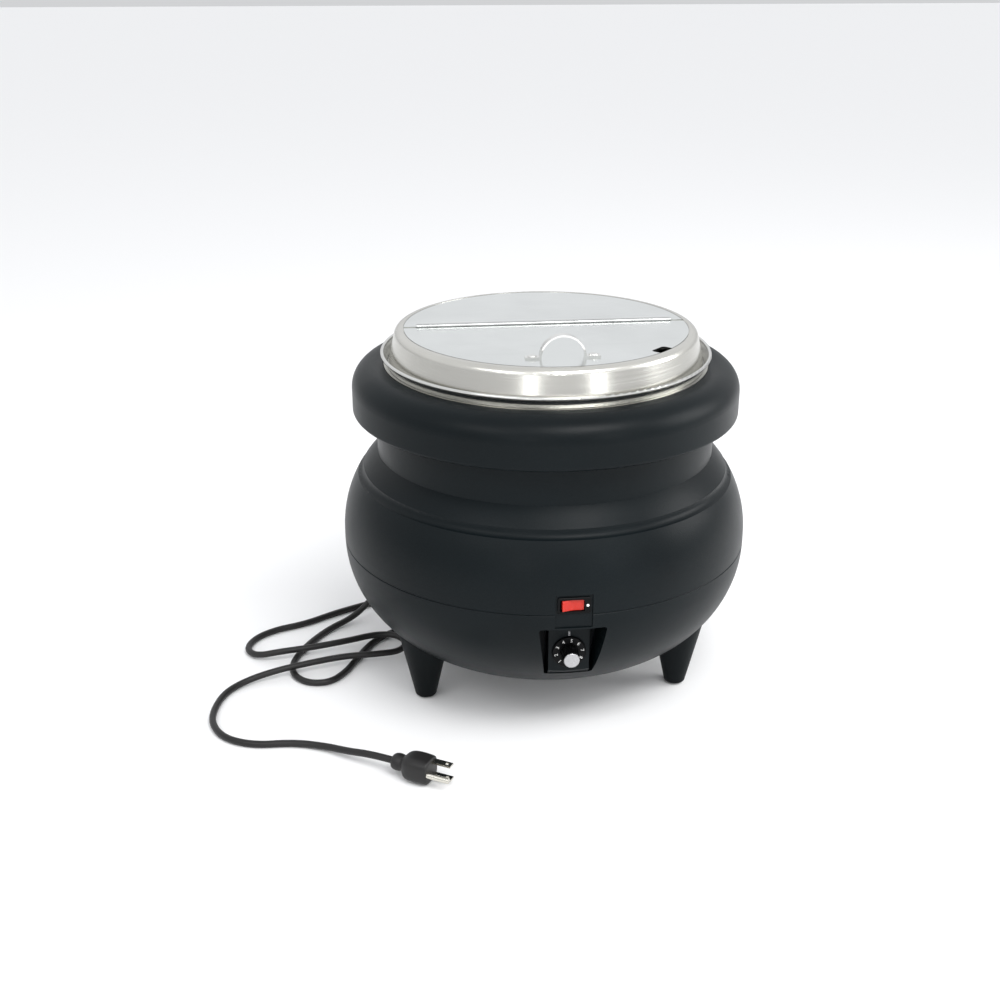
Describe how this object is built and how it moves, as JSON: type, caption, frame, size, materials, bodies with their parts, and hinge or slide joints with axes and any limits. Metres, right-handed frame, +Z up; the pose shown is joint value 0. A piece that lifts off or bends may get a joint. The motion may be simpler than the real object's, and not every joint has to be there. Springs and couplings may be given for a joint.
{
  "type": "soup kettle",
  "caption": "Round countertop soup warmer with a bulged black body, lift-out steel inset pot and a half-hinged steel cover.",
  "frame": {"origin": "on the table under the centre of the kettle's round body", "axes": "+Z up, -Y towards the controls, +X to the right as seen from the front"},
  "size_m": [0.4848, 0.4035, 0.3395],
  "materials": {
    "shell": "fine matte texture",
    "steel": "brushed",
    "bright_steel": "polished",
    "control_plastic": "satin",
    "rocker_red": "gloss",
    "marking_white": "satin",
    "rubber": "matte",
    "cord_rubber": "satin",
    "plug_metal": "polished",
    "heater_metal": "satin",
    "insulation": "matte"
  },
  "bodies": {
    "kettle": {"base_plate": "shell", "base_screw_1": "bright_steel", "base_screw_2": "bright_steel", "base_screw_3": "bright_steel", "collar": "shell", "control_bezel": "shell", "cord_tail": "cord_rubber", "cord_tube": "cord_rubber", "element_lead": "cord_rubber", "foot_pad_1": "rubber", "foot_pad_2": "rubber", "foot_pad_3": "rubber", "heat_plate": "steel", "heater_nut": "bright_steel", "heater_stud": "bright_steel", "heating_element": "heater_metal", "insulation": "insulation", "leg_1": "shell", "leg_2": "shell", "leg_3": "shell", "leg_stud_1": "bright_steel", "leg_stud_2": "bright_steel", "leg_stud_3": "bright_steel", "lower_shell": "shell", "neck_ring": "shell", "neck_screw_1": "bright_steel", "neck_screw_2": "bright_steel", "neck_screw_3": "bright_steel", "plug_blade_1": "plug_metal", "plug_blade_2": "plug_metal", "plug_body": "cord_rubber", "plug_ground_pin": "plug_metal", "strain_relief": "cord_rubber", "switch_body": "control_plastic", "switch_dot": "marking_white", "switch_frame": "control_plastic", "switch_lead": "cord_rubber", "switch_plate": "shell", "terminal_block": "control_plastic", "thermal_cutoff": "heater_metal", "thermostat_body": "control_plastic", "thermostat_sensor": "heater_metal", "upper_shell": "shell", "water_well": "steel"},
    "pot": {"inset_pot": "steel"},
    "cover": {"cover_ring": "steel", "cover_rear_plate": "steel", "hinge_rear_leaf": "steel", "hinge_pin": "bright_steel"},
    "flap": {"cover_flap": "steel", "hinge_front_leaf": "steel", "flap_handle": "bright_steel", "handle_rivet_left": "bright_steel", "handle_rivet_right": "bright_steel"},
    "knob": {"knob_shaft": "bright_steel", "knob_dial": "control_plastic", "knob_grip": "control_plastic", "knob_cap": "bright_steel"},
    "rocker_switch": {"rocker": "rocker_red"}
  },
  "joints": [
    {"name": "pot_lift", "type": "slide", "parent": "kettle", "child": "pot", "axis": [0, 0, 1], "range_m": [0, 0.24]},
    {"name": "cover_lift", "type": "slide", "parent": "pot", "child": "cover", "axis": [0, 0, 1], "range_m": [0, 0.12]},
    {"name": "flap_hinge", "type": "hinge", "parent": "cover", "child": "flap", "pos_m": [0, 0.007, 0.321], "axis": [-1, 0, 0], "range_deg": [0, 165]},
    {"name": "knob_turn", "type": "hinge", "parent": "kettle", "child": "knob", "pos_m": [0, -0.16, 0.0877], "axis": [0, -1, 0], "range_deg": [-270, 0]},
    {"name": "rocker_tilt", "type": "hinge", "parent": "kettle", "child": "rocker_switch", "pos_m": [-0.0015, -0.1733, 0.1405], "axis": [0, 0, 1], "range_deg": [-14, 0]}
  ]
}
